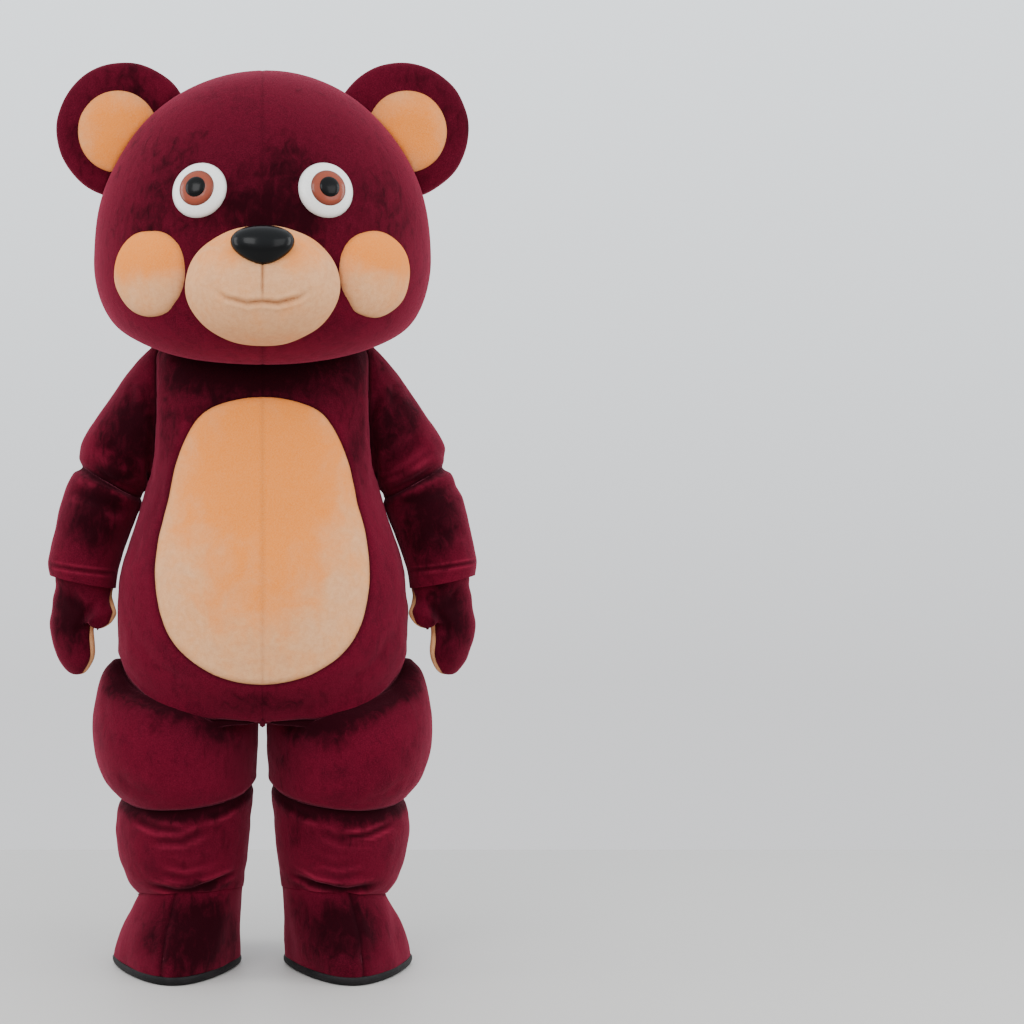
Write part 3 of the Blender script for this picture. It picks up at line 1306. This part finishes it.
dress(Shell(bootNet()), bootLook)
dress(Shell(mittenNet()), mittenLook)
print("sewn pieces made")


# Padded pieces, each a soft ball pressed on what it is sewn to

pads = {  # middle, half sizes across, deep and high, how square, finish, what it sits on
    "ear": ((0.301, -0.018, 1.820), (0.147, 0.034, 0.147), 3.0, "plush", ("head",)),
    "ear_lining": ((0.311, -0.045, 1.812), (0.090, 0.017, 0.092), 2.6, "tan", ("ear", "head")),
    "muzzle": ((0, -0.326, 1.447), (0.156, 0.130, 0.120), 2.15, "tan", ("head",)),
    "nose": ((0, -0.436, 1.510), (0.060, 0.038, 0.043), 2.0, "black", ("muzzle",)),
    "tail": ((0, 0.272, 0.731), (0.077, 0.070, 0.077), 2.0, "plush", ("suit",)),
}
studs = {  # x and height on the head, how far the middle stands out, half sizes, finish, seats
    "cheek": ((0.236, 1.478), -0.026, (0.098, 0.046, 0.094), "tan", ("head",)),
    "eye_white": ((0.128, 1.640), -0.008, (0.061, 0.026, 0.061), "white", ("head",)),
    "eye_iris": ((0.128, 1.640), 0.0122, (0.039, 0.011, 0.039), "brown", ("eye_white",)),
    "eye_pupil": ((0.128, 1.640), 0.0208, (0.023, 0.007, 0.023), "black", ("eye_iris",)),
}
padding = {
    "clear": 0.0006,  # how far a seated point stays off the surface under it
    "tuck": 0.0022,  # how far a pad is drawn in beside its seat
    "shade": 0.0050,  # how far off its seat a pad is dark, and how dark
    "dark": 0.8,
    "noseTaper": 0.30,
    "waves": (0.0016, 0.055),
    "seed": 6.6,
    "ball": 2.0,  # how square a plain ball is
}
irisRim = (4, 3.1)  # how fast the iris darkens outwards, and less how much
fineness = {  # cells in 90 degrees of the ball
    "muzzle": 60, "ear": 44, "ear_lining": 40, "tail": 40, "cheek": 36, "hard": 24,
}
smile = ((0.104, 1.436), (0.072, 1.411), (0.030, 1.399), (0, 1.402))  # x and height of half of the mouth
mouth = (  # side seen, line, depth and width of the stitches on the muzzle
    ("front", ((0, 1.490), (0, 1.402)), 0.0045, 0.0030),
    ("front", tuple((-x, z) for x, z in smile) + smile[-2::-1], 0.0085, 0.0045),
)
trees = {}


def ball(steps):
    made = bmesh.new()
    bmesh.ops.create_cube(made, size=2)
    bmesh.ops.subdivide_edges(made, edges=made.edges[:], cuts=steps - 1, use_grid_fill=True)
    made.verts.index_update()
    points = np.tan(np.array([tuple(vert.co) for vert in made.verts]) * math.pi / 4)
    faces = np.array([[vert.index for vert in face.verts] for face in made.faces])
    made.free()
    return points / np.linalg.norm(points, axis=1)[:, None], faces


class Pad:
    freshNormals = Shell.freshNormals
    push = Shell.push

    def __init__(self, steps, centre, size, square, facing):
        points, self.faces = ball(steps)
        across, deep, high = size
        out = np.hypot(points[:, 0], points[:, 2])
        swell = np.maximum(out, onMiddle) ** (2 / square - 1)
        depth = np.sign(points[:, 1]) * np.abs(points[:, 1]) ** (2 / square)
        local = np.stack([across * points[:, 0] * swell, deep * depth, high * points[:, 2] * swell], axis=1)
        turn = np.array(Vector(facing).to_track_quat("-Y", "Z").to_matrix())
        self.local = local
        self.points = local @ turn.T + np.array(centre)
        self.refresh()
        self.dark = np.zeros(len(self.points))
        self.bright = np.zeros(len(self.points))

    def refresh(self):
        self.normals = self.freshNormals()
        self.rest = self.points.copy()

    def seat(self, tree):
        heights = np.empty(len(self.points))
        for number, point in enumerate(self.points):
            place, normal, _, _ = tree.find_nearest(point)
            heights[number] = (Vector(point) - place).dot(normal)
        middle = Vector(self.points[heights > padding["clear"]].mean(axis=0))
        near = np.exp(-((np.maximum(0, heights) / padding["shade"]) ** 2))
        self.dark = np.maximum(self.dark, near * padding["dark"])
        self.points -= self.normals * (near * padding["tuck"])[:, None]
        for number in np.nonzero(heights < padding["clear"])[0]:
            start = Vector(self.points[number])
            place, normal, _, _ = tree.ray_cast(start, middle - start)
            if place:
                self.points[number] = place + normal * padding["clear"]


def treeOf(form):
    return BVHTree.FromPolygons(form.points.tolist(), form.faces.tolist())


def addPad(node, kind, centre, size, square, facing, finish, seats, side):
    pad = Pad(fineness.get(kind, fineness["hard"]), centre, size, square, facing)
    if kind == "nose":
        pad.points[:, 0] *= 1 + padding["noseTaper"] * pad.local[:, 2] / size[2]
        pad.refresh()
    if finish in ("plush", "tan"):
        unevenness(pad, *padding["waves"], padding["seed"] + side)
        pad.refresh()
    for seat in seats:
        pad.seat(trees.get(seat + labels[side]) or trees[seat])
    if kind == "muzzle":
        pad.refresh()
        for crease in mouth:
            fold(pad, np.ones(len(pad.points), dtype=bool), *crease)
    trees[node] = treeOf(pad)
    mesh = bpy.data.meshes.new(node)
    mesh.from_pydata(pad.points.tolist(), [], pad.faces.tolist())
    if kind == "eye_iris":
        faster, less = irisRim
        pad.dark = np.clip(np.hypot(pad.local[:, 0], pad.local[:, 2]) / size[0] * faster - less, 0, 1)
    floats(mesh, "dark", pad.dark)
    if finish == "plush":
        floats(mesh, "rim", rimLight(kind, pad.freshNormals()))
        floats(mesh, "nap", crushedNap(kind, pad.points, pad.freshNormals()))
    elif finish == "tan":
        floats(mesh, "blush", blushOf(kind, pad.points))
    piece = addPiece(mesh, node, finish)


def onHead(x, height):
    place, normal, _, _ = trees["head"].ray_cast(Vector((x, -1, height + floorZ)), Vector((0, 1, 0)))
    return place, normal


trees["head"] = treeOf(headShell)
trees["suit"] = treeOf(suitShell)
for kind, (centre, size, square, finish, seats) in pads.items():
    for side in (1, -1) if centre[0] else (0,):
        node = kind + labels[side]
        place = (centre[0] * (side or 1), centre[1], centre[2] + floorZ)
        facing = (0, 1, 0) if kind == "tail" else (0, -1, 0)
        addPad(node, kind, place, size, square, facing, finish, seats, side)
for kind, ((x, height), out, size, finish, seats) in studs.items():
    for side in (1, -1):
        place, normal = onHead(x * side, height)
        place += normal * out
        addPad(kind + labels[side], kind, place, size, padding["ball"], normal, finish, seats, side)
print("padded pieces made")


def addSole(side):
    section = dict(zip(boot["columns"], boot["sections"][-1]))
    count = boot["soleAround"]
    rim = np.array([limbPoint(section, 2 * math.pi * step / count) for step in range(count)])[:, :2]
    away = np.roll(rim, -1, axis=0) - np.roll(rim, 1, axis=0)
    away = np.stack([away[:, 1], -away[:, 0]], axis=1) / np.linalg.norm(away, axis=1)[:, None]
    points = []
    for height, out in boot["soleRings"]:
        ring = rim + away * out
        points += [(x * side, y, height + floorZ) for x, y in ring]
    levels = len(boot["soleRings"])
    faces = []
    for level in range(levels - 1):
        for column in range(count):
            after = (column + 1) % count
            low, high = level * count, (level + 1) * count
            faces.append((low + column, low + after, high + after, high + column)[::side])
    faces.append(tuple(range(count))[::-side])
    faces.append(tuple(range((levels - 1) * count, levels * count))[::side])
    mesh = bpy.data.meshes.new("sole")
    mesh.from_pydata(points, [], faces)
    piece = addPiece(mesh, "boot_sole" + labels[side], "rubber")
    piece.data.set_sharp_from_angle(angle=sharpEdge["sole"])


addSole(1)
addSole(-1)

# Camera, light and floor

view = {
    "distance": 3.98,
    "height": 1.03,
    "aim": 0.99,
    "bearAt": 262.5,  # column of the picture that the bear stands on
    "lens": 63.9,
    "pictureSize": 1024,
}


def addCamera():
    data = bpy.data.cameras.new("camera")
    data.lens = view["lens"]
    camera = bpy.data.objects.new("camera", data)
    bpy.context.scene.collection.objects.link(camera)
    camera.location = (0, -view["distance"], floorZ + view["height"])
    data.shift_x = 0.5 - view["bearAt"] / view["pictureSize"]
    aim = Vector((0, 0, floorZ + view["aim"])) - camera.location
    camera.rotation_euler = aim.to_track_quat("-Z", "Y").to_euler()
    bpy.context.scene.camera = camera


lights = {  # place, height it points at, width and height of the panel, watts
    "key": ((-1.8, -3.2, 2.9), 1.0, (1.8, 1.8), 55),
    "fill": ((2.4, -2.8, 2.2), 1.0, (2.0, 2.0), 28),
    "sideLeft": ((-2.7, -0.5, 2.0), 1.1, (0.9, 2.0), 26),
    "sideRight": ((2.7, -0.5, 2.0), 1.1, (0.9, 2.0), 26),
}


def addLight(name, place, aim, size, watts):
    data = bpy.data.lights.new(name, "AREA")
    data.shape = "RECTANGLE"
    data.size, data.size_y = size
    data.energy = watts
    light = bpy.data.objects.new(name, data)
    bpy.context.scene.collection.objects.link(light)
    light.location = (place[0], place[1], place[2] + floorZ)
    light.rotation_euler = (Vector((0, 0, aim)) - Vector(place)).to_track_quat("-Z", "Y").to_euler()


studio = {
    "floorBack": 1.27,
    "floorReach": 9,
    "floor": linear(190, 186, 182),
    "floorRough": 0.6,
    "low": (1.06, 1.07, 1.10),  # the studio's light where it meets the floor, and overhead
    "high": (1.62, 1.72, 1.80),
    "rise": (-0.10, 0.30),  # how far up the view points where it starts to rise, and where it is full
}


def addGround():
    reach = studio["floorReach"]
    corners = [(-reach, -reach), (reach, -reach), (reach, studio["floorBack"]), (-reach, studio["floorBack"])]
    mesh = bpy.data.meshes.new("ground")
    mesh.from_pydata([(x, y, floorZ) for x, y in corners], [], [(0, 1, 2, 3)])
    ground = bpy.data.objects.new("ground", mesh)
    bpy.context.scene.collection.objects.link(ground)
    m = Nodes("paleFloor")
    m.set(Base_Color=studio["floor"], Roughness=studio["floorRough"])
    mesh.materials.append(m.material)


def addWorld():
    world = bpy.data.worlds.new("studio")
    world.use_nodes = True
    tree = world.node_tree
    way = tree.nodes.new("ShaderNodeTexCoord").outputs["Generated"]
    apart = tree.nodes.new("ShaderNodeSeparateXYZ")
    ramp = tree.nodes.new("ShaderNodeMapRange")
    tone = tree.nodes.new("ShaderNodeMix")
    tone.data_type = "RGBA"
    tree.links.new(way, apart.inputs[0])
    tree.links.new(apart.outputs["Z"], ramp.inputs["Value"])
    ramp.inputs["From Min"].default_value, ramp.inputs["From Max"].default_value = studio["rise"]
    tree.links.new(ramp.outputs["Result"], tone.inputs[0])
    tone.inputs[6].default_value = (*studio["low"], 1)
    tone.inputs[7].default_value = (*studio["high"], 1)
    tree.links.new(tone.outputs[2], tree.nodes["Background"].inputs["Color"])
    bpy.context.scene.world = world


addCamera()
addGround()
addWorld()
for name, settings in lights.items():
    addLight(name, *settings)

print("scene made")
